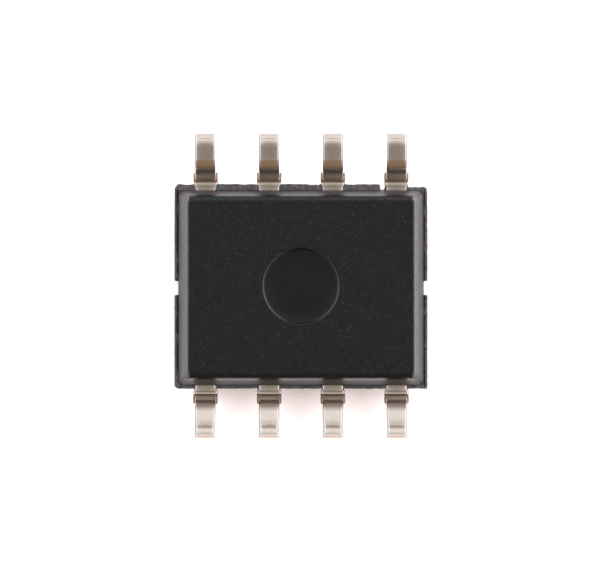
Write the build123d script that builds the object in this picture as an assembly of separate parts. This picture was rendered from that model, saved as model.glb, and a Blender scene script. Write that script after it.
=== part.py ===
from build123d import *
from math import radians, tan
import os

# An eight-lead small-outline memory chip, lying on its marked face with its feet in the air.
#
# The origin is at the centre of the marked face. +X runs along the moulded body, +Y across it
# towards leads 1 to 4, and +Z out of the underside, the way the feet reach. Seen from +Z, leads
# 1 to 4 run from -X to +X and leads 5 to 8 run back from +X to -X.
# Sizes are in millimetres and angles in degrees.

# Moulded body. Its width, and its reach past the corner leads' middles, are those at the parting
# line, without the trimmed resin rim.
BODY_END_REACH = 0.545
BODY_WIDTH = 3.90
BODY_THICKNESS = 1.45
WALL_DRAFT = 12.0
CORNER_RADIUS = 0.10
EDGE_RADIUS = 0.09

# Resin left around the parting line, as thick as the lead frame, where it was punched off.
RIM_ON_ENDS = 0.075
RIM_BY_FIRST_LEADS = 0.13
RIM_BY_LAST_LEADS = 0.065
RIM_CHAMFER = 0.06

# Notch in the rim at each tie bar's end: it clears the bar on both sides, and its corners are
# rounded within that margin.
NOTCH_MARGIN = 0.03
NOTCH_ROUNDING_SHARE = 0.8

# Round mark of the mould's ejector pin, in the middle of the underside.
EJECTOR_DIAMETER = 1.50
EJECTOR_RIM = 0.045
EJECTOR_DEPTH = 0.05

# Dimple beside lead 1, in the marked face.
DIMPLE_DIAMETER = 0.60
DIMPLE_DEPTH = 0.08
DIMPLE_INSET_X = 0.62
DIMPLE_INSET_Y = 0.72

# Lead frame: leads, die paddle and tie bars are stamped from one sheet of copper alloy.
SHEET = 0.20
LEADS_PER_ROW = 4
PITCH = 1.27
LEAD_REACH = 1.08
STANDOFF = 0.15
LEG_WIDTH = 0.41
LEG_SPLAY = 12.0
LEG_ROOT = 0.30
BEND_INNER_RADIUS = 0.10

# Stubs of the cut dam bar, which leave each lead wider near the body. The reaches are measured
# along the sheet's middle from the body's wall, so the last one lies in the first bend.
NECK_WIDTH = 0.43
NECK_REACH = 0.10
SHOULDER_WIDTH = 0.49
SHOULDER_START = 0.13
SHOULDER_END = 0.28

# Inner end of a lead: a waisted finger with ears that lock it in the resin.
EAR_WIDTH = 0.72
EAR_FROM_WALL = 0.22
EAR_LENGTH = 0.16
FINGER_WIDTH = 0.36
FINGER_LENGTH = 0.35
FINGER_GAP = 0.20
CORNER_FINGER_SHIFT = 0.42

# Die paddle, set down towards the underside, which brings the die's face nearer the fingers.
PADDLE_LENGTH = 2.50
PADDLE_CORNER = 0.12
PADDLE_DOWNSET = 0.14
TIE_BAR_WIDTH = 0.23
TIE_BAR_LEVEL_RUN = 0.20
TIE_BAR_SLOPE_RUN = 0.22
TIE_BAR_INNER_RADIUS = 0.01

# Memory die and the film of epoxy that holds it to the paddle.
DIE_LENGTH = 1.40
DIE_WIDTH = 1.06
DIE_THICKNESS = 0.25
EPOXY_THICKNESS = 0.03
EPOXY_FILLET = 0.08

# Gold bond wires, from pads along the die's long edges to the fingers' ends.
WIRE_DIAMETER = 0.025
WIRE_RISE = 0.15
WIRE_BEND_RADIUS = 0.05
WIRE_CREST_SHARE = 0.35
BALL_DIAMETER = 0.075
BALL_THICKNESS = 0.018
STITCH_DIAMETER = 0.065
STITCH_THICKNESS = 0.010
PAD_INSET = 0.11
PAD_END_INSET = 0.19
STITCH_INSET = 0.10

# Levels along Z that follow from the sizes above.
FRAME_MIDDLE = BODY_THICKNESS / 2
FRAME_LOW = FRAME_MIDDLE - SHEET / 2
FRAME_HIGH = FRAME_MIDDLE + SHEET / 2
SEATING_LEVEL = BODY_THICKNESS + STANDOFF
FOOT_MIDDLE = SEATING_LEVEL - SHEET / 2
PADDLE_LOW = FRAME_LOW + PADDLE_DOWNSET
PADDLE_MIDDLE = PADDLE_LOW + SHEET / 2
DIE_BACK = PADDLE_LOW - EPOXY_THICKNESS
DIE_FACE = DIE_BACK - DIE_THICKNESS

# Distances along X from the centre.
BODY_END = (LEADS_PER_ROW - 1) * PITCH / 2 + BODY_END_REACH
PAD_PITCH = (DIE_LENGTH - 2 * PAD_END_INSET) / (LEADS_PER_ROW - 1)

# Distances along Y from the centre, for the row of leads 1 to 4.
WALL = BODY_WIDTH / 2
TIP = WALL + LEAD_REACH
EAR_OUTER = WALL - EAR_FROM_WALL
EAR_INNER = EAR_OUTER - EAR_LENGTH
FINGER_END = EAR_INNER - FINGER_LENGTH
PADDLE_SIDE = FINGER_END - FINGER_GAP
STITCH_PLACE = FINGER_END + STITCH_INSET
PAD_PLACE = DIE_WIDTH / 2 - PAD_INSET

ALONG_Z = (Align.CENTER, Align.CENTER, Align.MIN)
OPPOSITE_ROW = Rotation(0, 0, 180)


def lead_centres():
    """Gives the X of each lead of a row, from -X to +X."""
    middle = (LEADS_PER_ROW - 1) / 2
    return [(index - middle) * PITCH for index in range(LEADS_PER_ROW)]


def finger_centre(lead_x):
    """Gives the X of a lead's inner end: the corner leads' fingers lean towards the die."""
    is_corner = abs(lead_x) > PITCH
    shift = CORNER_FINGER_SHIFT if is_corner else 0
    return lead_x - shift if lead_x > 0 else lead_x + shift


def strip(path, width):
    """Gives a band of sheet of one width, bent along a path in the YZ plane that starts level."""
    start = path @ 0
    half_sheet = Vector(0, 0, SHEET / 2)
    band = sweep(Edge.make_line(start - half_sheet, start + half_sheet), path=path)
    return extrude(band.faces(), amount=width / 2, dir=(1, 0, 0), both=True)


def half_block(height):
    """Gives half of the body: a block that narrows upwards from the XY plane."""
    block = extrude(Rectangle(2 * BODY_END, BODY_WIDTH), amount=height, taper=WALL_DRAFT)
    upright = [edge for edge in block.edges() if edge.bounding_box().size.Z > height / 2]
    block = fillet(upright, CORNER_RADIUS)
    return fillet(block.faces().sort_by(Axis.Z)[-1].edges(), EDGE_RADIUS)


def resin_rim():
    """Gives the punched rim at the parting line, with a notch at the end of each tie bar."""
    end = BODY_END + RIM_ON_ENDS
    far = WALL + RIM_BY_FIRST_LEADS
    near = WALL + RIM_BY_LAST_LEADS
    outline = make_face(Polyline((-end, -near), (end, -near), (end, far), (-end, far), close=True))
    outline = chamfer(outline.vertices(), RIM_CHAMFER)
    notch_width = TIE_BAR_WIDTH + 2 * NOTCH_MARGIN
    notch = RectangleRounded(2 * RIM_ON_ENDS, notch_width, NOTCH_ROUNDING_SHARE * NOTCH_MARGIN)
    for side in (-1, 1):
        outline -= Pos(side * end, 0) * notch
    return Pos(0, 0, FRAME_LOW) * extrude(outline, amount=SHEET)


def block_with_rim():
    """Gives the moulded body as if it held nothing inside."""
    half = half_block(FRAME_LOW)
    towards_underside = Pos(0, 0, FRAME_HIGH) * half
    towards_marking = Pos(0, 0, FRAME_LOW) * mirror(half, about=Plane.XY)
    waist = Pos(0, 0, FRAME_LOW) * extrude(
        RectangleRounded(2 * BODY_END, BODY_WIDTH, CORNER_RADIUS), amount=SHEET
    )
    block = towards_underside + towards_marking + waist + resin_rim()

    ejector_radius = EJECTOR_DIAMETER / 2
    ejector = Cone(ejector_radius - EJECTOR_RIM, ejector_radius, EJECTOR_DEPTH, align=ALONG_Z)
    block -= Pos(0, 0, BODY_THICKNESS - EJECTOR_DEPTH) * ejector

    dimple_x = DIMPLE_INSET_X - BODY_END
    dimple_y = WALL - DIMPLE_INSET_Y
    dimple = Cylinder(DIMPLE_DIAMETER / 2, DIMPLE_DEPTH, align=ALONG_Z)
    return block - Pos(dimple_x, dimple_y, 0) * dimple


def lead_plan(lead_x):
    """Gives a lead's outline seen along Z, from its widths at stations along Y, legs uncut."""
    finger_x = finger_centre(lead_x)
    stations = [
        (FINGER_END, finger_x, FINGER_WIDTH),
        (EAR_INNER, lead_x, FINGER_WIDTH),
        (EAR_INNER, lead_x, EAR_WIDTH),
        (EAR_OUTER, lead_x, EAR_WIDTH),
        (EAR_OUTER, lead_x, NECK_WIDTH),
        (WALL + NECK_REACH, lead_x, NECK_WIDTH),
        (WALL + SHOULDER_START, lead_x, SHOULDER_WIDTH),
        (TIP, lead_x, SHOULDER_WIDTH),
    ]
    left = [(centre - width / 2, place) for place, centre, width in stations]
    right = [(centre + width / 2, place) for place, centre, width in stations]
    return make_face(Polyline(*left, *reversed(right), close=True))


def lead(lead_x):
    """Gives a lead of the first row: a bent strip, cut to the outline that it was stamped to."""
    leg_root = WALL + LEG_ROOT
    leg_top = leg_root + (FOOT_MIDDLE - FRAME_MIDDLE) * tan(radians(LEG_SPLAY))
    path = FilletPolyline(
        (0, FINGER_END, FRAME_MIDDLE),
        (0, leg_root, FRAME_MIDDLE),
        (0, leg_top, FOOT_MIDDLE),
        (0, TIP, FOOT_MIDDLE),
        radius=BEND_INNER_RADIUS + SHEET / 2,
    )
    reach = abs(lead_x) + EAR_WIDTH
    stamped = strip(path, 2 * reach) & extrude(lead_plan(lead_x), amount=SEATING_LEVEL)

    # Past the dam bar's stubs the strip is only as wide as the leg.
    stub_end = WALL - FINGER_END + SHOULDER_END
    square_cut = Plane(
        path.position_at(stub_end, position_mode=PositionMode.LENGTH),
        z_dir=path.tangent_at(stub_end, position_mode=PositionMode.LENGTH),
    )
    past_stubs = square_cut * Box(2 * TIP, 2 * TIP, 2 * TIP, align=ALONG_Z)
    leg_slab = Pos(lead_x, 0, 0) * Box(LEG_WIDTH, 4 * TIP, 4 * TIP)
    return stamped - (past_stubs - leg_slab)


def die_paddle():
    """Gives the paddle and its two tie bars, which step back up to the frame's level."""
    plate = extrude(RectangleRounded(PADDLE_LENGTH, 2 * PADDLE_SIDE, PADDLE_CORNER), amount=SHEET)
    level_end = PADDLE_LENGTH / 2 + TIE_BAR_LEVEL_RUN
    slope_end = level_end + TIE_BAR_SLOPE_RUN
    path = FilletPolyline(
        (0, 0, PADDLE_MIDDLE),
        (0, level_end, PADDLE_MIDDLE),
        (0, slope_end, FRAME_MIDDLE),
        (0, BODY_END, FRAME_MIDDLE),
        radius=TIE_BAR_INNER_RADIUS + SHEET / 2,
    )
    tie_bar = strip(path, TIE_BAR_WIDTH)
    bars = [Rotation(0, 0, turn) * tie_bar for turn in (-90, 90)]
    return Pos(0, 0, PADDLE_LOW) * plate + bars[0] + bars[1]


def die_attach():
    """Gives the film of silver-filled epoxy between the die and the paddle."""
    film = RectangleRounded(DIE_LENGTH + EPOXY_FILLET, DIE_WIDTH + EPOXY_FILLET, EPOXY_FILLET)
    return Pos(0, 0, DIE_BACK) * extrude(film, amount=EPOXY_THICKNESS)


def silicon_die():
    """Gives the sawn die, its circuit side towards the marked face."""
    return Pos(0, 0, DIE_FACE) * Box(DIE_LENGTH, DIE_WIDTH, DIE_THICKNESS, align=ALONG_Z)


def bond_wire(index, lead_x):
    """Gives one wire of the first row: a ball on its pad, a loop, and a stitch on its finger."""
    pad_x = (index - (LEADS_PER_ROW - 1) / 2) * PAD_PITCH
    stitch_x = finger_centre(lead_x)
    crest = DIE_FACE - WIRE_RISE
    shoulder_x = pad_x + (stitch_x - pad_x) * WIRE_CREST_SHARE
    shoulder_y = PAD_PLACE + (STITCH_PLACE - PAD_PLACE) * WIRE_CREST_SHARE
    path = FilletPolyline(
        (pad_x, PAD_PLACE, DIE_FACE),
        (pad_x, PAD_PLACE, crest),
        (shoulder_x, shoulder_y, crest),
        (stitch_x, STITCH_PLACE, FRAME_LOW),
        radius=WIRE_BEND_RADIUS,
    )
    section = Plane(path @ 0, z_dir=path % 0) * Circle(WIRE_DIAMETER / 2)
    wire = sweep(section, path=path)
    ball_place = Pos(pad_x, PAD_PLACE, DIE_FACE - BALL_THICKNESS)
    wire += ball_place * Cylinder(BALL_DIAMETER / 2, BALL_THICKNESS, align=ALONG_Z)
    stitch_place = Pos(stitch_x, STITCH_PLACE, FRAME_LOW - STITCH_THICKNESS)
    wire += stitch_place * Cylinder(STITCH_DIAMETER / 2, STITCH_THICKNESS, align=ALONG_Z)
    return wire - lead(lead_x)


def pieces_inside():
    """Gives every piece that the resin is moulded around, by name."""
    pieces = {
        "die_paddle": die_paddle(),
        "die_attach": die_attach(),
        "silicon_die": silicon_die(),
    }
    for index, lead_x in enumerate(lead_centres()):
        first = index + 1
        last = first + LEADS_PER_ROW
        pieces[f"lead_{first}"] = lead(lead_x)
        pieces[f"lead_{last}"] = OPPOSITE_ROW * lead(lead_x)
        pieces[f"bond_wire_{first}"] = bond_wire(index, lead_x)
        pieces[f"bond_wire_{last}"] = OPPOSITE_ROW * bond_wire(index, lead_x)
    return pieces


def moulded_body(pieces):
    """Gives the resin body, with a hollow of the exact shape of each piece that it holds."""
    body = block_with_rim()
    for piece in pieces.values():
        body -= piece
    return body


os.makedirs("parts", exist_ok=True)
all_pieces = pieces_inside()
all_pieces["moulded_body"] = moulded_body(all_pieces)
for name, piece in all_pieces.items():
    export_step(piece.solid(), f"parts/{name}.step")
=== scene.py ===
import logging
import math
from dataclasses import dataclass, field
from enum import Enum
from typing import Any, Mapping, Sequence

import bpy
import numpy as np
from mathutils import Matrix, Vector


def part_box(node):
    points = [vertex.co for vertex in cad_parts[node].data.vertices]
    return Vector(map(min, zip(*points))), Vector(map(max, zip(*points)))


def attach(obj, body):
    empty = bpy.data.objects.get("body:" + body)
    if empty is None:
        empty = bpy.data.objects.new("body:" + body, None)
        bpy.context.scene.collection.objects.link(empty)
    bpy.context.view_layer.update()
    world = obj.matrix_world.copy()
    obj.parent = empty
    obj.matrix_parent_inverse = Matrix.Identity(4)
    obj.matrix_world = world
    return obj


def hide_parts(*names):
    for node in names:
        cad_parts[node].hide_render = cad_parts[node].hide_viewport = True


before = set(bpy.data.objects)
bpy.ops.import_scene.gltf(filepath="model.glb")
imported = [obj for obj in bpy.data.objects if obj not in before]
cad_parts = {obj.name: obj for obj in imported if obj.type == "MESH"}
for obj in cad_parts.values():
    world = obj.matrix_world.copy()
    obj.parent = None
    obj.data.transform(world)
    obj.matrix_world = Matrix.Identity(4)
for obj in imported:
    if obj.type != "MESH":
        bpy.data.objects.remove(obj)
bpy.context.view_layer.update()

log = logging.getLogger("memory_chip")

MM = 0.001
Colour = tuple[float, float, float]

# The two ends of a smooth step: the value that gives 0, then the one that gives 1.
Band = tuple[float, float]


class Slot(Enum):
    """Material slots of the record that new pieces take their finish from."""

    RESIN = "epoxy_body"
    TIN = "tin_plated_lead"


class Row(Enum):
    """The two rows of leads, by the side of the body that they leave, as a sign of Y."""

    FIRST = 1
    LAST = -1


# ---------------------------------------------------------------------------------------------
# Shader maths
# ---------------------------------------------------------------------------------------------


class Signal:
    """A value that a shader works out at each point, with Python's operators for numbers."""

    def __init__(self, bench: "Bench", socket: bpy.types.NodeSocket) -> None:
        """Keeps the socket that gives the value.

        Args:
            bench: the node tree's workbench.
            socket: the output that carries the value.
        """
        self.bench = bench
        self.socket = socket

    def _math(self, operation: str, first: Any, second: Any = 0.0) -> "Signal":
        """Adds one Math node and gives its result."""
        return self.bench.out("ShaderNodeMath", {"operation": operation}, {0: first, 1: second})

    def __add__(self, other: "Signal | float") -> "Signal":
        """Gives self + other."""
        return self._math("ADD", self, other)

    def __radd__(self, other: float) -> "Signal":
        """Gives other + self."""
        return self._math("ADD", other, self)

    def __sub__(self, other: "Signal | float") -> "Signal":
        """Gives self - other."""
        return self._math("SUBTRACT", self, other)

    def __rsub__(self, other: float) -> "Signal":
        """Gives other - self."""
        return self._math("SUBTRACT", other, self)

    def __mul__(self, other: "Signal | float") -> "Signal":
        """Gives self * other."""
        return self._math("MULTIPLY", self, other)

    def __rmul__(self, other: float) -> "Signal":
        """Gives other * self."""
        return self._math("MULTIPLY", other, self)

    def __truediv__(self, other: "Signal | float") -> "Signal":
        """Gives self / other."""
        return self._math("DIVIDE", self, other)

    def __pow__(self, other: float) -> "Signal":
        """Gives self to a power."""
        return self._math("POWER", self, other)

    def __abs__(self) -> "Signal":
        """Gives the size of self without its sign."""
        return self._math("ABSOLUTE", self)

    def larger(self, other: "Signal | float") -> "Signal":
        """Gives the larger of self and other."""
        return self._math("MAXIMUM", self, other)

    def fraction(self) -> "Signal":
        """Gives the part of self after the decimal point."""
        return self._math("FRACT", self)

    def step(self, low: float, high: float) -> "Signal":
        """Gives a smooth step of self, from 0 at low to 1 at high.

        Args:
            low: the value that gives 0.
            high: the value that gives 1, which may be the smaller of the two.

        Returns:
            The stepped value.
        """
        if low > high:
            return 1.0 - self.step(high, low)
        settings = {"interpolation_type": "SMOOTHSTEP"}
        return self.bench.out("ShaderNodeMapRange", settings, {0: self, 1: low, 2: high})

    def bell(self, centre: float, half_width: float) -> "Signal":
        """Gives a smooth bump, 1 at the centre and 0 from half_width away."""
        return abs(self - centre).step(half_width, 0.0)


class Bench:
    """A node tree and the one way in which nodes are added to it."""

    def __init__(self, tree: bpy.types.NodeTree) -> None:
        """Empties a node tree to build it anew."""
        self.tree = tree
        tree.nodes.clear()

    def node(
        self,
        kind: str,
        settings: Mapping[str, Any] | None = None,
        inputs: Mapping[Any, Any] | None = None,
    ) -> bpy.types.Node:
        """Adds a node.

        Args:
            kind: the node's type.
            settings: its own settings, which are set first.
            inputs: a value or a Signal for each of its sockets, by name or number.

        Returns:
            The node.
        """
        node = self.tree.nodes.new(kind)
        for key, value in (settings or {}).items():
            setattr(node, key, value)
        for key, value in (inputs or {}).items():
            if isinstance(value, Signal):
                self.tree.links.new(value.socket, node.inputs[key])
            else:
                node.inputs[key].default_value = value
        return node

    def out(
        self,
        kind: str,
        settings: Mapping[str, Any] | None = None,
        inputs: Mapping[Any, Any] | None = None,
        output: int | str = 0,
    ) -> Signal:
        """Adds a node and gives one of its outputs, as node does."""
        return Signal(self, self.node(kind, settings, inputs).outputs[output])

    def place(self) -> Signal:
        """Gives the point's place in its object, in metres."""
        return self.out("ShaderNodeTexCoord", output="Object")

    def axes(self, vector: Signal) -> tuple[Signal, Signal, Signal]:
        """Gives a vector's X, Y and Z."""
        parts = self.node("ShaderNodeSeparateXYZ", None, {0: vector})
        return tuple(Signal(self, parts.outputs[index]) for index in range(3))

    def stretched(self, vector: Signal, factors: Colour) -> Signal:
        """Gives a vector with its X, Y and Z each multiplied by a factor."""
        return self.out("ShaderNodeVectorMath", {"operation": "MULTIPLY"}, {0: vector, 1: factors})

    def noise(self, vector: Signal, grain: float, detail: float = 2.0) -> Signal:
        """Gives cloudy noise.

        Args:
            vector: where it is read, in metres.
            grain: the size of its spots, in metres.
            detail: how many finer layers it has.

        Returns:
            A number near 0.5, from about 0.2 to 0.8.
        """
        inputs = {"Vector": vector, "Scale": 1.0 / grain, "Detail": detail}
        return self.out("ShaderNodeTexNoise", None, inputs)

    def cells(self, vector: Signal, grain: float) -> Signal:
        """Gives the distance to the nearest of many scattered points, in units of grain."""
        inputs = {"Vector": vector, "Scale": 1.0 / grain}
        return self.out("ShaderNodeTexVoronoi", None, inputs)

    def blend(self, share: Signal | float, first: Any, second: Any) -> Signal:
        """Gives a colour between two, first where share is 0 and second where it is 1.

        Args:
            share: how much of the second colour there is.
            first: a colour or a Signal.
            second: a colour or a Signal.

        Returns:
            The colour.
        """
        first, second = (
            value if isinstance(value, Signal) else (*value, 1.0) for value in (first, second)
        )
        settings = {"data_type": "RGBA", "clamp_factor": True}
        return self.out("ShaderNodeMix", settings, {0: share, 6: first, 7: second}, output=2)

    def relief(self, height: Signal, depth: float, under: Signal | None = None) -> Signal:
        """Gives normals for a fine relief.

        Args:
            height: the relief, from 0 to 1.
            depth: its depth in metres.
            under: normals of a relief that this one lies on.

        Returns:
            The normals.
        """
        inputs = {"Height": height, "Distance": depth, "Strength": 1.0}
        if under is not None:
            inputs["Normal"] = under
        return self.out("ShaderNodeBump", None, inputs)


@dataclass(frozen=True)
class Finish:
    """A finish: each kind paints one principled shader."""

    name: str

    def material(self) -> bpy.types.Material:
        """Gives a new material with this finish.

        Returns:
            The material.
        """
        material = bpy.data.materials.new(self.name)
        material.use_nodes = True
        bench = Bench(material.node_tree)
        shader = bench.node("ShaderNodeBsdfPrincipled", None, self.paint(bench))
        surface = Signal(bench, shader.outputs[0])
        bench.node("ShaderNodeOutputMaterial", None, {"Surface": surface})
        return material

    def paint(self, bench: Bench) -> dict[str, Any]:
        """Gives the shader's inputs; each finish has its own."""
        raise NotImplementedError


@dataclass(frozen=True)
class MouldedResin(Finish):
    """Silica-filled moulding resin, as it leaves an eroded mould: fine matt grain and filler
    specks. The ejector pin's mark is smoother and darker, the walls are rougher, and the
    edges at both ends of the upper face are pale: partly worn, partly a painted highlight
    of the side lights, a little stronger at the right end.

    Lengths are in metres. The bands are where each mask sets in, by height above the lower
    face or by distance from the body's middle. The near edge stays smooth, so its wall turns
    rough lower down, by near_drop.
    """

    ground: Colour = (0.0022, 0.0022, 0.0028)
    specks: Colour = (0.030, 0.030, 0.033)
    mark_ground: Colour = (0.0012, 0.0010, 0.0011)
    # Pale end edges: partly wear, partly a painted highlight.
    worn_and_highlit: Colour = (0.105, 0.100, 0.104)
    mark_radius: float = 0.72 * MM
    mark_softness: float = 0.01 * MM
    mark_smoothness: float = 0.85
    near_drop: float = 0.065 * MM
    near_side: Band = (0.0, -1.5 * MM)
    near_edge: Band = (-1.76 * MM, -1.70 * MM)
    upper_half: Band = (1.2 * MM, 1.3 * MM)
    above_lower_face: Band = (0.02 * MM, 0.17 * MM)
    round_mark: Band = (1.2 * MM, 1.4 * MM)
    wall_height: Band = (1.435 * MM, 1.28 * MM)
    end_height: Band = (1.449 * MM, 1.42 * MM)
    end_length: Band = (2.20 * MM, 2.26 * MM)
    edge_top: Band = (1.4499 * MM, 1.446 * MM)
    edge_foot: Band = (1.37 * MM, 1.41 * MM)
    # Where the pale end edges sit: partly wear, partly a painted highlight.
    worn_and_highlit_top: Band = (1.4495 * MM, 1.435 * MM)
    worn_and_highlit_foot: Band = (1.36 * MM, 1.40 * MM)
    worn_and_highlit_length: Band = (2.20 * MM, 2.24 * MM)
    grain_depth: float = 0.0024 * MM

    def wall_share(self, x: Signal, y: Signal, z: Signal, outer: Signal) -> Signal:
        """Gives where the resin is rough: 1 on the walls, less on the edges at both ends.

        Args:
            x: how far along the body the point is.
            y: how far across it the point is.
            z: the point's height.
            outer: 1 away from the ejector's mark.

        Returns:
            The share of the walls' roughness.
        """
        raised = z + self.near_drop * y.step(*self.near_side)
        ends = abs(x).step(*self.end_length) * z.step(*self.end_height) * outer
        wall = raised.step(*self.wall_height).larger(ends * 0.8)
        return wall * z.step(*self.above_lower_face)

    def worn_and_highlit_share(self, x: Signal, z: Signal, speckle: Signal) -> Signal:
        """Gives where the end edges are pale, partly worn and partly a painted highlight, a little
        more towards the right end, where more light falls.

        Args:
            x: how far along the body the point is.
            z: the point's height.
            speckle: 1 on the crumbs.

        Returns:
            The share of the pale colour: partly wear, partly painted highlight.
        """
        worn_and_highlit = abs(x).step(*self.worn_and_highlit_length) * z.step(*self.worn_and_highlit_top)
        worn_and_highlit = worn_and_highlit * z.step(*self.worn_and_highlit_foot) * (0.55 + 0.45 * speckle)
        # Painted highlight: a little stronger at the right end, where more light falls.
        return worn_and_highlit * (0.85 + 0.15 * x.step(0.0, MM))

    def paint(self, bench: Bench) -> dict[str, Any]:
        """Gives grain in relief, pale specks, a smooth mark round the Z axis and pale end edges,
        partly worn and partly a painted highlight.

        Args:
            bench: the material's workbench.

        Returns:
            The shader's inputs, by name.
        """
        place = bench.place()
        x, y, z = bench.axes(place)
        fine = bench.noise(place, 0.022 * MM, 3.0)
        coarse = bench.noise(place, 0.11 * MM, 2.0)
        radius = (x * x + y * y) ** 0.5
        outer = radius.step(*self.round_mark)
        mark = radius.step(self.mark_radius + self.mark_softness, self.mark_radius)
        mark = mark * z.step(*self.upper_half)
        unmarked = 1.0 - self.mark_smoothness * mark

        dots = bench.cells(place, 0.030 * MM).step(0.34, 0.14) * coarse.step(0.36, 0.62) * 0.6
        dots = dots + bench.cells(place, 0.10 * MM).step(0.12, 0.06) * coarse.step(0.30, 0.60)
        dots = dots * unmarked
        edge = z.step(*self.edge_foot) * z.step(*self.edge_top)
        edge = edge * outer * y.step(*self.near_edge)
        speckle = bench.noise(place, 0.026 * MM, 1.0).step(0.50, 0.60) * edge
        ground = bench.blend(mark, self.ground, self.mark_ground)
        speckled = bench.blend(dots * 0.9, ground, self.specks)
        wall = self.wall_share(x, y, z, outer)
        height = (fine * 0.6 + coarse * 0.2 + dots * 0.25) * unmarked + speckle * 1.2
        return {
            # Base colour carries pale end edges, partly wear and partly a painted highlight.
            "Base Color": bench.blend(self.worn_and_highlit_share(x, z, speckle), speckled, self.worn_and_highlit),
            "Roughness": 0.205 + (fine - 0.5) * 0.20 - mark * 0.03 + wall * 0.30,
            "Normal": bench.relief(height, self.grain_depth),
            "Specular IOR Level": 0.40,
            "Specular Tint": (0.90, 0.95, 1.0, 1.0),
            "IOR": 1.55,
        }


@dataclass(frozen=True)
class PunchedResin(Finish):
    """Resin broken off by the trimming punch: coarse, pitted and paler than the moulded skin."""

    deep: Colour = (0.004, 0.004, 0.0045)
    broken: Colour = (0.066, 0.062, 0.068)

    def paint(self, bench: Bench) -> dict[str, Any]:
        """Gives chips and pits of two sizes, the pits dark.

        Args:
            bench: the material's workbench.

        Returns:
            The shader's inputs, by name.
        """
        place = bench.place()
        chips = bench.noise(place, 0.050 * MM, 3.0)
        fine = bench.noise(place, 0.018 * MM, 3.0)
        broken = (chips * 0.55 + fine * 0.45).step(0.36, 0.64)
        return {
            "Base Color": bench.blend(broken, self.deep, self.broken),
            "Roughness": 0.62 + (fine - 0.5) * 0.3,
            "Normal": bench.relief(chips * 0.5 + fine * 0.5, 0.010 * MM),
            "Specular IOR Level": 0.4,
            "IOR": 1.55,
        }


@dataclass(frozen=True)
class TinPlate(Finish):
    """Matt tin plated on copper alloy: a fine crystalline grain, darker along the rounded side
    edges, stained round the bends and down the leg with painted shade mixed into the stain
    beside the body's wall and between leg and body, and bare copper on the punched tip.

    The forming tool pressed grooves across the soles, as triples of how far back from the
    tip, half width and depth, the first two in millimetres and the depth as a share of
    groove_depth. Other bands are along the lead in millimetres, or across it as a share of
    its half width.
    """

    grooves: tuple[tuple[float, float, float], ...] = ()
    bright: Colour = (0.84, 0.765, 0.715)
    dull: Colour = (0.75, 0.665, 0.605)
    # Darker colour along the rounded side edges.
    darker_edge: Colour = (0.195, 0.178, 0.172)
    # Brown round the bends: partly real stain, partly painted shade beside the body's wall.
    stained_and_shaded: Colour = (0.66, 0.52, 0.40)
    # Deeper brown on the bends and leg: partly stain, partly painted shade between leg and body.
    deep_stain_and_shade: Colour = (0.50, 0.36, 0.25)
    copper: Colour = (0.62, 0.33, 0.19)
    rim_start: Band = (0.80, 0.88)
    rim_end: Band = (0.999, 0.985)
    groove_side: Band = (0.86, 0.60)
    groove_bow: float = 0.022
    groove_depth: float = 0.0040 * MM
    grain_depth: float = 0.0009 * MM
    # Reach of the stain, widened to paint shade on the shoulder beside the body's wall.
    stain_and_shade_middle: float = 1.15
    stain_and_shade_reach: float = 0.62
    leg_middle: float = 1.27
    leg_reach: float = 0.36
    # Where the deeper brown sits: over the bends and the leg, partly painted shade.
    bends_start: Band = (0.91, 1.00)
    bends_end: Band = (1.78, 1.62)
    cut_end: Band = (0.003, 0.0008)

    def paint(self, bench: Bench) -> dict[str, Any]:
        """Gives the plating by where it lies along and across the lead.

        Args:
            bench: the material's workbench.

        Returns:
            The shader's inputs, by name.
        """
        place = bench.place()
        along, toe, across = (
            bench.out("ShaderNodeAttribute", {"attribute_name": name}, output="Fac")
            for name in ("along", "toe", "across")
        )
        grain = bench.noise(place, 0.020 * MM, 3.0)
        cloud = bench.noise(place, 0.080 * MM, 2.0)
        drawn = bench.noise(bench.stretched(place, (1.0, 0.12, 0.12)), 0.014 * MM, 2.0)

        edge = abs(across)
        rim = edge.step(*self.rim_start) * edge.step(*self.rim_end)
        # Partly real stain, partly painted shade on the shoulder beside the dark wall.
        stain_and_shade = along.bell(self.stain_and_shade_middle, self.stain_and_shade_reach) * (1.0 - 0.7 * rim)
        leg = along.bell(self.leg_middle, self.leg_reach)
        bends = along.step(*self.bends_start) * along.step(*self.bends_end)
        worn = bench.blend(grain.step(0.36, 0.66), self.bright, self.dull)
        # Darker along the rounded side edges.
        worn = bench.blend(rim, worn, self.darker_edge)
        # Stain with painted shade mixed in.
        plated = bench.blend(stain_and_shade * (0.45 + 0.4 * cloud), worn, self.stained_and_shaded)
        # Bends and leg: deeper brown, partly stain and partly painted shade.
        plated = bench.blend(bends * 0.5, plated, self.deep_stain_and_shade)
        cut = toe.step(*self.cut_end)

        bowed = toe + across * across * self.groove_bow
        pressed = edge * 0.0
        for centre, half_width, depth in self.grooves:
            pressed = pressed + bowed.bell(centre, half_width) * depth
        pressed = pressed * edge.step(*self.groove_side)
        grained = bench.relief(grain * 0.55 + drawn * 0.3 + cloud * 0.15, self.grain_depth)
        return {
            "Base Color": bench.blend(cut, plated, self.copper),
            "Metallic": 1.0 - 0.18 * leg - 0.06 * bends,
            "Roughness": 0.17 + (grain - 0.5) * 0.14 + 0.20 * leg,
            "Normal": bench.relief(1.0 - pressed, self.groove_depth, under=grained),
        }


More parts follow.
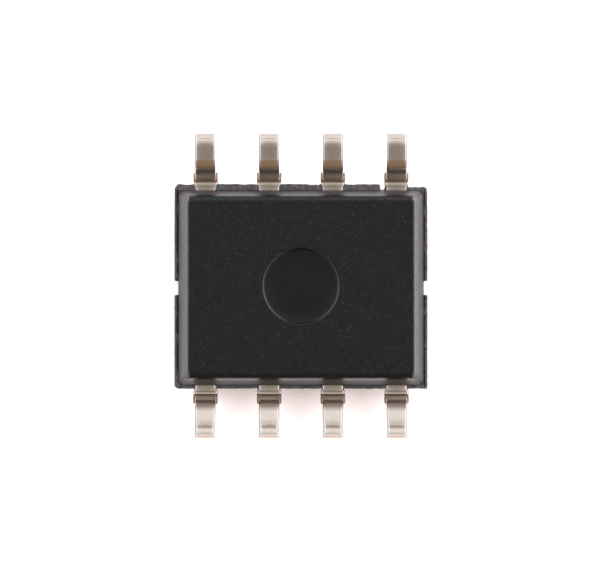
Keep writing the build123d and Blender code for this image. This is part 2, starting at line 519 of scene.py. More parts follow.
@dataclass(frozen=True)
class CopperSheet(Finish):
    """Bare rolled copper alloy, with fine rolling lines and a little oxide."""

    clean: Colour = (0.80, 0.43, 0.26)
    oxide: Colour = (0.42, 0.19, 0.11)

    def paint(self, bench: Bench) -> dict[str, Any]:
        """Gives rolling lines along X and clouds of oxide.

        Args:
            bench: the material's workbench.

        Returns:
            The shader's inputs, by name.
        """
        place = bench.place()
        lines = bench.noise(bench.stretched(place, (0.05, 1.0, 1.0)), 0.012 * MM, 2.0)
        cloud = bench.noise(place, 0.35 * MM, 3.0)
        return {
            "Base Color": bench.blend(cloud.step(0.42, 0.72), self.clean, self.oxide),
            "Metallic": 1.0,
            "Roughness": 0.30 + (lines - 0.5) * 0.25,
            "Normal": bench.relief(lines, 0.001 * MM),
        }


@dataclass(frozen=True)
class SilverEpoxy(Finish):
    """Epoxy filled with silver flakes."""

    resin: Colour = (0.30, 0.29, 0.28)
    flakes: Colour = (0.80, 0.79, 0.77)

    def paint(self, bench: Bench) -> dict[str, Any]:
        """Gives scattered bright flakes in a grey resin.

        Args:
            bench: the material's workbench.

        Returns:
            The shader's inputs, by name.
        """
        place = bench.place()
        flakes = bench.cells(place, 0.018 * MM).step(0.45, 0.20)
        return {
            "Base Color": bench.blend(flakes, self.resin, self.flakes),
            "Metallic": flakes * 0.8,
            "Roughness": 0.55 - flakes * 0.2,
            "Normal": bench.relief(flakes, 0.002 * MM),
        }


@dataclass(frozen=True)
class CircuitSilicon(Finish):
    """Sawn silicon whose face carries two blocks of memory cells and a strip of logic."""

    bare: Colour = (0.13, 0.14, 0.17)
    cells: Colour = (0.20, 0.12, 0.26)
    tracks: Colour = (0.46, 0.43, 0.36)
    face_level: float = 0.485 * MM

    def paint(self, bench: Bench) -> dict[str, Any]:
        """Gives cell rows in two blocks beside the middle, and tracks round them.

        Args:
            bench: the material's workbench.

        Returns:
            The shader's inputs, by name.
        """
        place = bench.place()
        x, y, z = bench.axes(place)
        on_face = z.step(self.face_level + 0.004 * MM, self.face_level + 0.002 * MM)
        block = abs(x).bell(0.30 * MM, 0.22 * MM).step(0.0, 0.25) * abs(y).step(0.30 * MM, 0.29 * MM)
        rows = (y / (0.012 * MM)).fraction() - 0.5
        columns = (x / (0.020 * MM)).fraction() - 0.5
        cell_lines = abs(rows).step(0.30, 0.42).larger(abs(columns).step(0.36, 0.46))
        tracks = abs((y / (0.045 * MM)).fraction() - 0.5).step(0.32, 0.40)
        memory = bench.blend(cell_lines * 0.6, self.cells, self.tracks)
        logic = bench.blend(tracks * 0.7, self.bare, self.tracks)
        drawn = bench.blend(block, logic, memory)
        return {
            "Base Color": bench.blend(on_face, self.bare, drawn),
            "Metallic": 0.35,
            "Roughness": 0.14 + (1.0 - on_face) * 0.35,
            "Normal": bench.relief(bench.noise(place, 0.01 * MM) * (1.0 - on_face), 0.001 * MM),
        }


@dataclass(frozen=True)
class GoldWire(Finish):
    """Drawn gold, with faint marks of the drawing die."""

    gold: Colour = (1.0, 0.73, 0.30)
    deep: Colour = (0.85, 0.52, 0.18)

    def paint(self, bench: Bench) -> dict[str, Any]:
        """Gives gold whose colour and shine vary faintly.

        Args:
            bench: the material's workbench.

        Returns:
            The shader's inputs, by name.
        """
        place = bench.place()
        marks = bench.noise(place, 0.008 * MM, 2.0)
        return {
            "Base Color": bench.blend(marks.step(0.3, 0.7), self.gold, self.deep),
            "Metallic": 1.0,
            "Roughness": 0.16 + (marks - 0.5) * 0.15,
            "Normal": bench.relief(marks, 0.0004 * MM),
        }


@dataclass(frozen=True)
class PaleBoard(Finish):
    """The pale board that the chip lies on, faintly lit from behind."""

    white: Colour = (0.92, 0.855, 0.84)
    glow: float = 0.10

    def paint(self, bench: Bench) -> dict[str, Any]:
        """Gives a soft white with a faint mottle.

        Args:
            bench: the material's workbench.

        Returns:
            The shader's inputs, by name.
        """
        cloud = bench.noise(bench.place(), 8.0 * MM, 2.0)
        shade = tuple(0.985 * value for value in self.white)
        return {
            "Base Color": bench.blend(cloud, self.white, shade),
            "Roughness": 0.9,
            "Specular IOR Level": 0.1,
            "Emission Color": (1.0, 1.0, 1.0, 1.0),
            "Emission Strength": self.glow,
        }


# ---------------------------------------------------------------------------------------------
# Surfaces
# ---------------------------------------------------------------------------------------------


def rounded_rectangle(
    half_x: float, half_y: float, radius: float, spacing: float
) -> tuple[np.ndarray, np.ndarray]:
    """Gives points round a rectangle with rounded corners, anticlockwise from +X.

    Each corner is a quarter circle about a centre set in by the radius, and each side is a
    straight run between two such quarters, its points evenly spaced.

    Args:
        half_x: half the length along X.
        half_y: half the length along Y.
        radius: the corners' radius.
        spacing: the distance between points on the sides, which sets how many there are.

    Returns:
        The points and their outward normals, each one row of X and Y to a point.
    """
    corner_steps = 10
    points, normals = [], []
    inner_x, inner_y = half_x - radius, half_y - radius
    centres = ((inner_x, inner_y), (-inner_x, inner_y), (-inner_x, -inner_y), (inner_x, -inner_y))
    for quarter, (centre_x, centre_y) in enumerate(centres):
        start = quarter * math.pi / 2
        angles = start + np.linspace(0.0, math.pi / 2, corner_steps + 1)
        normal = np.stack([np.cos(angles), np.sin(angles)], axis=1)
        points.append(np.array([centre_x, centre_y]) + radius * normal)
        normals.append(normal)
        run = 2 * (inner_x if quarter % 2 == 0 else inner_y)
        steps = max(int(round(run / spacing)), 2)
        shares = np.arange(1, steps)[:, None] / steps
        side_normal = normal[-1]
        along = np.array([-side_normal[1], side_normal[0]])
        points.append(points[-1][-1] + shares * run * along)
        normals.append(np.repeat(side_normal[None, :], steps - 1, axis=0))
    return np.concatenate(points), np.concatenate(normals)


def smooth_noise(count: int, grain: float, seed: int) -> np.ndarray:
    """Gives noise round a closed loop: white noise blurred by a Gaussian, made to unit spread.

    Args:
        count: how many samples the loop has.
        grain: the blur's radius, in samples.
        seed: the seed of its random numbers.

    Returns:
        The noise, about 0, one value to a sample.
    """
    white = np.random.default_rng(seed).standard_normal(count)
    frequency = np.fft.rfftfreq(count)
    blurred = np.fft.irfft(np.fft.rfft(white) * np.exp(-2 * (np.pi * grain * frequency) ** 2), count)
    return blurred / blurred.std()


def smooth_step(value: np.ndarray, low: float, high: float) -> np.ndarray:
    """Gives a smooth step from 0 at low to 1 at high: 3 s^2 - 2 s^3 of the share s between."""
    share = np.clip((value - low) / (high - low), 0.0, 1.0)
    return share * share * (3.0 - 2.0 * share)


def signed_volume(points: np.ndarray, faces: np.ndarray) -> float:
    """Gives six times the volume inside quads: the sum of each half's triple product.

    Args:
        points: the points, one row of X, Y and Z to each.
        faces: the quads, as rows of four point numbers.

    Returns:
        Six times the volume, negative where the faces look inwards.
    """
    a, b, c, d = (points[faces[:, corner]] for corner in range(4))
    halves = np.einsum("ij,ij->i", a, np.cross(b, c)) + np.einsum("ij,ij->i", a, np.cross(c, d))
    return float(halves.sum())


@dataclass
class Surface:
    """A closed surface on a grid of rings by points round each ring."""

    rings: np.ndarray
    ends_meet: bool = False
    attributes: dict[str, np.ndarray] = field(default_factory=dict)

    def faces(self) -> np.ndarray:
        """Gives the grid's quads, as rows of four point numbers.

        Quad (i, j) joins points j and j + 1 of ring i to those of ring i + 1. Points wrap round
        each ring, and rings wrap too where the ends meet.

        Returns:
            The quads.
        """
        rings, count = self.rings.shape[:2]
        number = np.arange(rings * count).reshape(rings, count)
        following = np.roll(number, -1, axis=1)
        if self.ends_meet:
            low, high = number, np.roll(number, -1, axis=0)
            low_next, high_next = following, np.roll(following, -1, axis=0)
        else:
            low, high = number[:-1], number[1:]
            low_next, high_next = following[:-1], following[1:]
        return np.stack([low, low_next, high_next, high], axis=-1).reshape(-1, 4)

    def build(self, name: str, sharp_angle: float = 32.0) -> bpy.types.Object:
        """Makes the object, with its faces outwards and its open ends closed by fans.

        Args:
            name: the object's name.
            sharp_angle: the angle in degrees from which an edge stays sharp.

        Returns:
            The object, at the origin.
        """
        rings, count = self.rings.shape[:2]
        points = self.rings.reshape(-1, 3)
        quads = self.faces()
        inward = signed_volume(points, quads) < 0
        fans = np.empty((0, 3), dtype=int)
        if not self.ends_meet:
            around = np.arange(count)
            after = np.roll(around, -1)
            last = (rings - 1) * count
            first_hub, last_hub = len(points), len(points) + 1
            first_fan = np.stack([after, around, np.full(count, first_hub)], axis=1)
            last_fan = np.stack([last + around, last + after, np.full(count, last_hub)], axis=1)
            hubs = np.stack([self.rings[0].mean(axis=0), self.rings[-1].mean(axis=0)])
            points = np.concatenate([points, hubs])
            fans = np.concatenate([first_fan, last_fan])
        if inward:
            quads, fans = quads[:, ::-1], fans[:, ::-1]
        mesh = bpy.data.meshes.new(name)
        mesh.from_pydata(points.tolist(), [], quads.tolist() + fans.tolist())
        mesh.shade_smooth()
        mesh.set_sharp_from_angle(angle=math.radians(sharp_angle))
        for attribute, values in self.attributes.items():
            flat = values.reshape(-1).astype(np.float32)
            if not self.ends_meet:
                ends = [values[0].mean(), values[-1].mean()]
                flat = np.concatenate([flat, np.array(ends, dtype=np.float32)])
            layer = mesh.attributes.new(attribute, "FLOAT", "POINT")
            layer.data.foreach_set("value", flat)
        mesh.update()
        piece = bpy.data.objects.new(name, mesh)
        bpy.context.scene.collection.objects.link(piece)
        return piece


def dress(piece: bpy.types.Object, finish: Finish) -> None:
    """Gives a piece one finish in place of any that it has.

    Args:
        piece: the piece.
        finish: the finish it gets.
    """
    material = finish.material()
    if not piece.data.materials:
        piece.data.materials.append(material)
    for index in range(len(piece.material_slots)):
        piece.material_slots[index].material = material


# ---------------------------------------------------------------------------------------------
# Sub-assemblies
# ---------------------------------------------------------------------------------------------


@dataclass
class ResinBody:
    """The moulded body's outer skin and the punched rim round its parting line.

    Lengths are in metres, apart from the rim's reaches, flaws, notches and grooves, which are
    in millimetres. The waist is the band between the two mould halves, as thick as the lead
    frame. The rim is a piece of its own round the waist.
    """

    half_length: float = 2.45 * MM
    half_width: float = 1.95 * MM
    thickness: float = 1.45 * MM
    waist_low: float = 0.625 * MM
    waist_high: float = 0.825 * MM
    draft: float = math.radians(11.8)
    edge_radius: float = 0.12 * MM
    corner_radius: float = 0.10 * MM
    spacing: float = 0.06 * MM
    mark_radius: float = 0.75 * MM
    mark_slope: float = 0.024 * MM
    mark_depth: float = 0.05 * MM
    dimple_centre: tuple[float, float] = (-1.83 * MM, 1.23 * MM)
    dimple_radius: float = 0.30 * MM
    dimple_depth: float = 0.08 * MM
    waist_inset: float = 0.004 * MM
    cavity_shift: float = -0.017 * MM
    far_reach: float = 0.121
    near_reach: float = 0.058
    left_reach: float = 0.077
    right_reach: float = 0.075
    worn_corner: Band = (2.12, 2.15)
    worn_depth: float = 0.055
    chip_place: float = 1.625
    chip_edge: Band = (0.055, 0.035)
    chip_depth: float = 0.10
    notch_edge: Band = (0.132, 0.150)
    notch_depth: float = 0.02
    rim_corner: float = 0.03 * MM
    rim_spacing: float = 0.010 * MM
    left_groove: float = 0.07
    right_groove: float = 0.04

    def wall_profile(self, parting: float, height: float) -> list[tuple[float, float]]:
        """Gives a wall from the parting line to the flat face, as insets and heights.

        The wall leans in by the draft angle, then turns through a circular arc on to the face.

        Args:
            parting: the parting line's height.
            height: the face's height.

        Returns:
            Pairs of how far in from the parting outline, and at what Z.
        """
        sign = 1.0 if height > parting else -1.0
        rise = abs(height - parting)
        turn = math.pi / 2 - self.draft
        arc_height = rise - self.edge_radius
        wall_top = arc_height + self.edge_radius * math.cos(turn)
        wall_inset = wall_top * math.tan(self.draft)
        centre_inset = wall_inset + self.edge_radius * math.sin(turn)
        straight = np.linspace(0.0, wall_top, 6)[:-1]
        profile = [(z * math.tan(self.draft), parting + sign * z) for z in straight]
        for angle in np.linspace(turn, 0.0, 9):
            inset = centre_inset - self.edge_radius * math.sin(angle)
            profile.append((inset, parting + sign * (arc_height + self.edge_radius * math.cos(angle))))
        return profile

    def outline(self, inset: float, height: float) -> np.ndarray:
        """Gives the parting outline shrunk by an inset on every side, at one height.

        The upper cavity lies a little off the lower one, so its walls lean with their height.

        Args:
            inset: how far in from the parting outline.
            height: the outline's Z.

        Returns:
            The outline's points, one row of X, Y and Z to each.
        """
        points, _ = rounded_rectangle(
            self.half_length, self.half_width, self.corner_radius, self.spacing
        )
        shrink = np.array([1.0 - inset / self.half_length, 1.0 - inset / self.half_width])
        lifted = max(height - self.waist_high, 0.0) / (self.thickness - self.waist_high)
        shift = np.array([0.0, self.cavity_shift * lifted])
        return np.column_stack([points * shrink + shift, np.full(len(points), height)])

    def pool(
        self, edge: np.ndarray, centre: tuple[float, float], profile: Sequence[tuple[float, float]]
    ) -> list[np.ndarray]:
        """Gives rings from a face's edge in to a round recess.

        Each ring is a blend of the edge with a circle, the share of circle growing inwards, and
        from the recess's rim on they are true circles.

        Args:
            edge: the ring at the face's edge.
            centre: the recess's centre.
            profile: the recess's radii and depths into the body, from the rim to near its centre.

        Returns:
            The rings, from the edge inwards.
        """
        level = edge[0, 2]
        inwards = 1.0 if level < self.thickness / 2 else -1.0
        angles = np.arctan2(edge[:, 1], edge[:, 0])
        circle = np.stack([np.cos(angles), np.sin(angles)], axis=1)
        rim_radius, _ = profile[0]
        rim = np.column_stack([centre + rim_radius * circle, np.full(len(edge), level)])
        rings = [edge + (rim - edge) * share for share in (0.02, 0.25, 0.5, 0.75, 0.97)]
        for radius, depth in profile:
            ring = centre + radius * circle
            rings.append(np.column_stack([ring, np.full(len(edge), level + inwards * depth)]))
        return rings

    def skin(self) -> Surface:
        """Gives the body's skin, ring by ring from the dimple's floor to the ejector's mark.

        Returns:
            The skin.
        """
        lower = [self.outline(*station) for station in self.wall_profile(self.waist_low, 0.0)]
        upper = [
            self.outline(*station) for station in self.wall_profile(self.waist_high, self.thickness)
        ]
        soft = 0.012 * MM
        dimple = [
            (self.dimple_radius + soft, 0.0),
            (self.dimple_radius, 0.3 * soft),
            (self.dimple_radius - 0.2 * soft, soft),
            (self.dimple_radius - 0.6 * soft, self.dimple_depth - soft),
            (self.dimple_radius - 2 * soft, self.dimple_depth),
            (self.dimple_radius * 0.5, self.dimple_depth),
            (self.dimple_radius * 0.1, self.dimple_depth),
        ]
        floor_radius = self.mark_radius - self.mark_slope
        mark = [
            (self.mark_radius + 0.012 * MM, 0.0),
            (self.mark_radius + 0.004 * MM, 0.001 * MM),
            (self.mark_radius - 0.004 * MM, 0.007 * MM),
            (floor_radius + 0.004 * MM, self.mark_depth - 0.007 * MM),
            (floor_radius - 0.003 * MM, self.mark_depth - 0.001 * MM),
            (floor_radius - 0.012 * MM, self.mark_depth),
            (floor_radius * 0.5, self.mark_depth),
            (floor_radius * 0.1, self.mark_depth),
        ]
        below = self.pool(lower[-1], self.dimple_centre, dimple)
        above = self.pool(upper[-1], (0.0, 0.0), mark)
        waist = [
            self.outline(self.waist_inset, self.waist_low),
            self.outline(self.waist_inset, self.waist_high),
        ]
        rings = below[::-1] + lower[::-1] + waist + upper + above
        return Surface(np.stack(rings))

    def rim_reach(self, points: np.ndarray, normals: np.ndarray) -> np.ndarray:
        """Gives how far the rim stands out at each point round the parting line.

        Each side has its own mean reach, blended round the corners by the normal. Noise of two
        grains makes it ragged, and smooth steps cut the tie bars' notches, the worn corner
        beside lead 4 and the chip on that lead's other side.

        Args:
            points: the parting line's points.
            normals: its outward normals.

        Returns:
            The reach at each point.
        """
        count = len(points)
        x, y = points[:, 0] / MM, points[:, 1] / MM
        ragged = smooth_noise(count, 5.0, 3) * 0.6 + smooth_noise(count, 1.6, 8) * 0.4
        on_right, on_left = np.clip(normals[:, 0], 0, 1), np.clip(-normals[:, 0], 0, 1)
        on_far, on_near = np.clip(normals[:, 1], 0, 1), np.clip(-normals[:, 1], 0, 1)

        worn = smooth_step(x, *self.worn_corner)
        chip = smooth_step(np.abs(x - self.chip_place), *self.chip_edge)
        far_reach = self.far_reach - self.worn_depth * worn - self.chip_depth * chip + 0.007 * ragged
        near_reach = self.near_reach + 0.0035 * ragged
        left_reach = self.left_reach + 0.003 * ragged
        right_reach = self.right_reach + 0.004 * ragged
        kept = smooth_step(np.abs(y), *self.notch_edge)
        left_reach = left_reach * kept - self.notch_depth * (1 - kept)
        right_reach = right_reach * kept - self.notch_depth * (1 - kept)
        reach = (
            on_far**2 * far_reach
            + on_near**2 * near_reach
            + on_left**2 * left_reach
            + on_right**2 * right_reach
        )
        square = np.maximum(np.abs(normals[:, 0]), np.abs(normals[:, 1]))
        reach = np.where(normals[:, 0] > 0, reach / square, reach)
        return reach * MM

    def rim(self) -> Surface:
        """Gives the punched rim: a flat section carried round the parting line.

        The section runs out along the rim's upper side, down its broken face and back, with a
        little noise at each point of the broken part. A groove follows the wall at both ends.

        Returns:
            The rim, whose last ring joins its first.
        """
        points, normals = rounded_rectangle(
            self.half_length, self.half_width, self.rim_corner, self.rim_spacing
        )
        reach = self.rim_reach(points, normals)
        low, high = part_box("moulded_body")
        hidden = -0.05 * MM
        top, bottom = self.waist_high - 0.003 * MM, self.waist_low + 0.003 * MM
        on_left, on_right = np.clip(-normals[:, 0], 0, 1), np.clip(normals[:, 0], 0, 1)
        groove = MM * (self.left_groove * on_left + self.right_groove * on_right)
        groove = groove * np.clip(0.75 + 0.6 * smooth_noise(len(points), 5.0, 4), 0.0, 1.0)
        # Each point: share of the reach, height, share of the sinking, share of the noise.
        section = [
            (0.0, top, 0.0, 0.0),
            (0.41, top, 0.0, 0.0),
            (0.43, top, 0.0, 0.0),
            (0.60, top, 0.0, 0.1),
            (0.63, top, 0.5, 0.2),
            (0.86, top, 1.0, 0.3),
            (0.97, top - 0.010 * MM, 1.0, 0.8),
            (1.0, top - 0.035 * MM, 0.6, 1.0),
            (0.99, top - 0.080 * MM, 0.0, 1.0),
            (0.97, bottom + 0.080 * MM, 0.0, 1.0),
            (0.99, bottom + 0.035 * MM, 0.6, 1.0),
            (0.95, bottom + 0.010 * MM, 1.0, 0.8),
            (0.80, bottom, 1.0, 0.3),
            (0.0, bottom, 0.0, 0.0),
        ]
        groove_points = (2, 3)
        lines = []
        for index, (share, level, lift, spread) in enumerate(section):
            rough = smooth_noise(len(points), 1.4, 20 + index) * 0.003 * MM
            outward = hidden + (reach - hidden) * share + spread * rough
            place = points + normals * outward[:, None]
            sinking = 0.0045 * MM * lift * np.abs(smooth_noise(len(points), 1.8, 50 + index))
            lowered = level - np.sign(level - (top + bottom) / 2) * sinking
            if index in groove_points:
                lowered = lowered - groove
            lines.append(np.column_stack([place, lowered]))
        rings = np.stack(lines, axis=1)
        rings[..., 0] = np.clip(rings[..., 0], low[0], high[0])
        rings[..., 1] = np.clip(rings[..., 1], low[1], high[1])
        return Surface(rings, ends_meet=True)

    def build(self) -> list[bpy.types.Object]:
        """Builds and dresses the skin and the rim.

        Returns:
            The skin and the rim.
        """
        skin = self.skin().build("resin_skin")
        dress(skin, MouldedResin("moulded_resin"))
        rim = self.rim().build("resin_rim", sharp_angle=50.0)
        dress(rim, PunchedResin("punched_resin"))
        for piece in (skin, rim):
            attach(piece, "root")
            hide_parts("moulded_body")
        return [skin, rim]


@dataclass
class GullWingLead:
    """One lead, from its finger in the resin to its foot: a strip of sheet bent twice.

    Lengths are in metres. Stations along the lead are measured down the sheet's middle, and
    stations on the foot back from the tip.
    """

    number: int
    centre: float
    row: Row
    finger_end: float = 1.22 * MM
    wall: float = 1.95 * MM
    tip: float = 3.03 * MM
    sheet: float = 0.20 * MM
    level: float = 0.725 * MM
    seating: float = 1.60 * MM
    shoulder_run: float = 0.090 * MM
    dip_run: float = 0.035 * MM
    easing_run: float = 0.075 * MM
    first_bend: float = 0.15 * MM
    heel_bend: float = 0.20 * MM
    dip_angle: float = math.radians(-4.6)
    easing_angle: float = math.radians(16.0)
    leg_angle: float = math.radians(78.0)
    edge_radius: float = 0.038 * MM
    tip_radius: float = 0.014 * MM
    step: float = 0.005 * MM

    def foot_slopes(self) -> tuple[list[float], list[float]]:
        """Gives the foot's slope, by how far back from the tip, in metres and radians.

        The first row's toes droop where they were sheared off; the last row's run straight.

        Returns:
            The stations and the slopes at them.
        """
        droop = ((0.50, 4.6), (0.32, 4.2), (0.25, 1.0), (0.16, -2.8), (0.11, -4.6), (0.0, -11.0))
        straight = ((0.50, 5.4), (0.30, 5.0), (0.0, 5.4))
        stations, slopes = zip(*(droop if self.row is Row.FIRST else straight))
        return [value * MM for value in stations], [math.radians(value) for value in slopes]

    def path(self, leg: float, foot: float) -> tuple[np.ndarray, np.ndarray, np.ndarray]:
        """Gives the path down the sheet's middle, seen from the side.

        The strip's slope is a chain of straight changes along its length, one for each bend,
        and the path is the running sum of its cosine and sine.

        Args:
            leg: the straight leg's length.
            foot: the length from the second bend's middle to the tip.

        Returns:
            The distance along the path, its Y and Z as two columns, and its slope.
        """
        back, foot_slope = self.foot_slopes()
        heel = foot_slope[0]
        runs = [
            0.0,
            self.wall - self.finger_end + self.shoulder_run,
            self.dip_run,
            self.easing_run,
            self.first_bend * (self.leg_angle - self.easing_angle),
            leg,
            self.heel_bend * (self.leg_angle - heel),
        ]
        ends = np.cumsum(runs)
        slopes = [0.0, 0.0, self.dip_angle, self.easing_angle, self.leg_angle, self.leg_angle, heel]
        total = ends[-1] + foot
        ends = np.concatenate([ends, total - np.array(back[1:])])
        slopes = np.concatenate([slopes, foot_slope[1:]])
        along = np.linspace(0.0, total, int(round(total / self.step)) + 1)
        slope = np.interp(along, ends, slopes)
        kernel = np.ones(5) / 5
        slope = np.convolve(np.pad(slope, 2, mode="edge"), kernel, mode="valid")
        middle = (slope[1:] + slope[:-1]) / 2
        lengths = np.diff(along)
        y = self.finger_end + np.concatenate([[0.0], np.cumsum(lengths * np.cos(middle))])
        z = self.level + np.concatenate([[0.0], np.cumsum(lengths * np.sin(middle))])
        return along, np.stack([y, z], axis=1), slope

    def fitted_path(self) -> tuple[np.ndarray, np.ndarray, np.ndarray]:
        """Gives the path whose foot ends at the tip's place with its sole on the seating plane.

        The leg and the foot are lengthened by what is missing in height and in reach, a few
        times over.

        Returns:
            The same as path.
        """
        leg, foot = 0.40 * MM, 0.45 * MM
        for _ in range(8):
            _, path, slope = self.path(leg, foot)
            sole = path[:, 1] + self.sheet / 2 * np.cos(slope)
            lift = (self.seating - sole.max()) / math.sin(self.leg_angle)
            leg += lift
            foot += self.tip - path[-1, 0] - lift * math.cos(self.leg_angle)
        return self.path(leg, foot)

    def half_widths(self, along: np.ndarray) -> np.ndarray:
        """Gives half the lead's width along it: finger, ears, neck, dam bar stub and leg.

        Args:
            along: the stations along the lead.

        Returns:
            Half the width at each station.
        """
        wall = (self.wall - self.finger_end) / MM
        stations = (
            (0.0, 0.18),
            (0.350, 0.18),
            (0.352, 0.36),
            (0.508, 0.36),
            (0.510, 0.215),
            (wall + 0.06, 0.215),
            (wall + 0.12, 0.245),
            (wall + 0.306, 0.245),
            (wall + 0.308, 0.205),
            (wall + 2.0, 0.205),
        )
        places, widths = zip(*stations)
        return np.interp(along / MM, places, widths) * MM

    def section(self) -> tuple[np.ndarray, np.ndarray]:
        """Gives the strip's section, a rounded rectangle, in shares of its size.

        Returns:
            For each point, the signs of its side and face, and its offset from that corner's
            centre in units of the edge radius.
        """
        steps = 8
        corners, offsets = [], []
        for quarter, corner in enumerate(((1, 1), (-1, 1), (-1, -1), (1, -1))):
            angles = quarter * math.pi / 2 + np.linspace(0.0, math.pi / 2, steps)
            corners.append(np.repeat([corner], steps, axis=0))
            offsets.append(np.stack([np.cos(angles), np.sin(angles)], axis=1))
        return np.concatenate(corners), np.concatenate(offsets)

    def surface(self) -> Surface:
        """Gives the lead's surface: its section carried along its path, square to it.

        The last rings draw in round a small arc, so that the tip has a soft edge.

        Returns:
            The surface, with each point's place along and across the lead.
        """
        along, path, slope = self.fitted_path()
        wall = self.wall - self.finger_end
        shoulders = np.array([0.3505, 0.3515, 0.5085, 0.5095]) * MM
        stub_end = wall + np.array([0.3055, 0.3085]) * MM
        toe = along[-1] - self.tip_radius * np.array([1.0, 0.6, 0.3, 0.12, 0.03])
        stations = np.unique(np.concatenate([along, shoulders, stub_end, toe]))
        y = np.interp(stations, along, path[:, 0])
        z = np.interp(stations, along, path[:, 1])
        tilt = np.interp(stations, along, slope)[:, None]
        from_tip = stations[-1] - stations

        to_tip = np.clip(1.0 - from_tip / self.tip_radius, 0.0, 1.0)
        draw_in = self.tip_radius * (1.0 - np.sqrt(1.0 - (0.995 * to_tip) ** 2))
        half_width = self.half_widths(stations) - draw_in
        half_sheet = self.sheet / 2 - draw_in

        corners, offsets = self.section()
        across = corners[:, 0] * (half_width[:, None] - self.edge_radius)
        across = across + self.edge_radius * offsets[:, 0]
        through = corners[:, 1] * (half_sheet[:, None] - self.edge_radius)
        through = through + self.edge_radius * offsets[:, 1]
        shift = np.interp(stations / MM, [0.0, 0.35], [self.finger_shift(), 0.0])[:, None] * MM
        place_y = y[:, None] - through * np.sin(tilt)
        place_z = z[:, None] + through * np.cos(tilt)
        place_y = np.minimum(place_y, self.tip)
        place_z = np.minimum(place_z, self.seating)
        rings = np.stack(
            [self.centre + shift + across, place_y * self.row.value, place_z], axis=-1
        )
        count = rings.shape[1]
        return Surface(
            rings,
            attributes={
                "along": np.repeat(stations[:, None] / MM, count, axis=1),
                "toe": np.repeat(from_tip[:, None] / MM, count, axis=1),
                "across": across / half_width[:, None],
            },
        )

    def finger_shift(self) -> float:
        """Gives how far a corner lead's inner end leans towards the die, in millimetres."""
        is_corner = abs(self.centre) > 1.27 * MM
        return -0.42 * math.copysign(1.0, self.centre) if is_corner else 0.0

    def build(self, finish: Finish) -> bpy.types.Object:
        """Builds and dresses the lead.

        Args:
            finish: the row's finish.

        Returns:
            The lead.
        """
        piece = self.surface().build(f"tin_lead_{self.number}")
        dress(piece, finish)
        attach(piece, "root")
        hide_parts(f"lead_{self.number}")
        return piece


@dataclass
class LeadRows:
    """Both rows of leads, numbered from the far left round to the near left."""

    per_row: int = 4
    pitch: float = 1.27 * MM

    def build(self) -> list[bpy.types.Object]:
        """Builds all the leads, row by row.

        Returns:
            The eight leads.
        """
        drooped = TinPlate("drooped_tin", grooves=((0.118, 0.018, 0.20),))
        grooves = ((0.160, 0.105, 0.9), (0.20, 0.18, 0.8), (0.078, 0.026, 0.62))
        grooved = TinPlate("grooved_tin", grooves=grooves)
        pieces = []
        for index in range(self.per_row):
            centre = (index - (self.per_row - 1) / 2) * self.pitch
            first = GullWingLead(index + 1, centre, Row.FIRST)
            last = GullWingLead(index + 1 + self.per_row, -centre, Row.LAST)
            pieces += [first.build(drooped), last.build(grooved)]
        return pieces


@dataclass
class HeldPieces:
    """The pieces moulded inside the body, which keep the shapes that the frame gives them."""

    def build(self) -> list[bpy.types.Object]:
        """Dresses the paddle, the epoxy, the die and the wires.

        Returns:
            The dressed pieces.
        """
        finishes = {
            "die_paddle": CopperSheet("copper_sheet"),
            "die_attach": SilverEpoxy("silver_epoxy"),
            "silicon_die": CircuitSilicon("circuit_silicon"),
        }
        gold = GoldWire("gold_wire")
        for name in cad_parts:
            if name.startswith("bond_wire"):
                finishes[name] = gold
        for name, finish in finishes.items():
            dress(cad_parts[name], finish)
        return [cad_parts[name] for name in finishes]


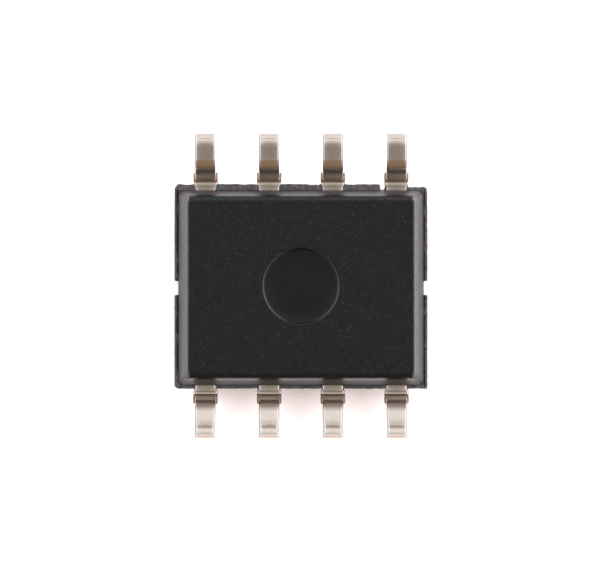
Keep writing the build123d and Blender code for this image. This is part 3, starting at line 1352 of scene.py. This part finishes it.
@dataclass
class Studio:
    """The pale board, the soft light round it, and the camera that looks down on the chip."""

    board_half: float = 600 * MM
    board_drop: float = 0.004 * MM
    elevation: float = math.radians(86.8)
    distance: float = 200 * MM
    frame_width: float = 11.97 * MM
    sensor: float = 36.0
    aim: tuple[float, float, float] = (-0.02 * MM, 0.146 * MM, 0.825 * MM)
    opening_lean: float = math.radians(2.0)
    opening_radius: float = math.radians(9.0)
    opening_edge: float = math.radians(13.0)
    opening_light: Colour = (0.22, 0.195, 0.16)
    box_light: float = 3.9
    box_tint: Colour = (0.98, 0.965, 1.0)
    ceiling_tint: Colour = (1.0, 0.985, 0.985)
    horizon_light: Colour = (0.30, 0.21, 0.14)
    room_light: Colour = (0.26, 0.18, 0.11)
    floor_light: Colour = (0.13, 0.095, 0.07)

    def board(self) -> bpy.types.Object:
        """Builds the board that the chip lies on, just under its marked face.

        Returns:
            The board.
        """
        half = self.board_half
        corners = [(-half, -half), (half, -half), (half, half), (-half, half)]
        mesh = bpy.data.meshes.new("board")
        mesh.from_pydata([(x, y, -self.board_drop) for x, y in corners], [], [(0, 1, 2, 3)])
        board = bpy.data.objects.new("board", mesh)
        bpy.context.scene.collection.objects.link(board)
        dress(board, PaleBoard("pale_board"))
        return board

    def sky(self) -> bpy.types.World:
        """Makes the light: a softbox on either side, a bright ceiling that dims towards the
        far horizon, a warm dim room on the near side, and a dim opening round the camera.

        Each part is a smooth mask of the direction, whose X, Y and Z run from -1 to 1.

        Returns:
            The world.
        """
        world = bpy.data.worlds.new("soft_studio")
        bpy.context.scene.world = world
        world.use_nodes = True
        bench = Bench(world.node_tree)
        direction = bench.out("ShaderNodeTexCoord", output="Generated")
        x, y, z = bench.axes(direction)
        boxes = abs(x).step(0.22, 0.55) * (0.55 + 0.90 * y.step(-0.45, 0.45)) * self.box_light
        boxes = boxes * (0.95 + 0.35 * x.step(-0.2, 0.2)) * (0.4 + 0.6 * z.step(0.36, 0.52))
        ceiling = 0.20 + 0.85 * z.larger(0.0) ** 2.5
        near = y.step(-0.17, -0.27)
        overhead = z * math.cos(self.opening_lean) - y * math.sin(self.opening_lean)
        opening = overhead.step(math.cos(self.opening_edge), math.cos(self.opening_radius))

        room = bench.blend(z.step(0.62, 0.15), self.room_light, self.floor_light)
        ceiling_light = bench.out(
            "ShaderNodeVectorMath", {"operation": "SCALE"}, {0: self.ceiling_tint, "Scale": ceiling}
        )
        ceiling_light = bench.blend(z.step(0.55, 0.12), ceiling_light, self.horizon_light)
        beyond = bench.blend(near, ceiling_light, room)
        seen = bench.blend(opening, beyond, self.opening_light)
        box_light = bench.out(
            "ShaderNodeVectorMath", {"operation": "SCALE"}, {0: self.box_tint, "Scale": boxes}
        )
        total = bench.out("ShaderNodeVectorMath", {"operation": "ADD"}, {0: seen, 1: box_light})
        light = bench.node("ShaderNodeBackground", None, {"Color": total, "Strength": 1.0})
        surface = Signal(bench, light.outputs[0])
        bench.node("ShaderNodeOutputWorld", None, {"Surface": surface})
        return world

    def camera(self) -> bpy.types.Object:
        """Makes the camera, at a long lens's distance, and sets it as the scene's.

        Returns:
            The camera.
        """
        data = bpy.data.cameras.new("camera")
        data.sensor_width = self.sensor
        data.lens = self.sensor * self.distance / self.frame_width
        data.clip_start, data.clip_end = 10 * MM, 2000 * MM
        camera = bpy.data.objects.new("camera", data)
        bpy.context.scene.collection.objects.link(camera)
        back = (0.0, -math.cos(self.elevation), math.sin(self.elevation))
        camera.location = [self.aim[axis] + self.distance * back[axis] for axis in range(3)]
        camera.rotation_euler = (math.pi / 2 - self.elevation, 0.0, 0.0)
        bpy.context.scene.camera = camera
        return camera

    def build(self) -> list[bpy.types.Object]:
        """Sets up the board, the light and the camera.

        Returns:
            The board and the camera.
        """
        bpy.context.scene.view_settings.view_transform = "Standard"
        self.sky()
        return [self.board(), self.camera()]


def report(pieces: Sequence[bpy.types.Object]) -> None:
    """Logs each piece's name and how many faces it has.

    Args:
        pieces: the pieces to report.
    """
    for piece in pieces:
        count = len(piece.data.polygons) if piece.type == "MESH" else 0
        log.info("%s: %d faces", piece.name, count)


def main() -> None:
    """Builds every sub-assembly in order and reports its pieces."""
    logging.basicConfig(level=logging.INFO, format="%(message)s")
    for assembly in (Studio(), ResinBody(), LeadRows(), HeldPieces()):
        report(assembly.build())


if __name__ == "__main__":
    main()
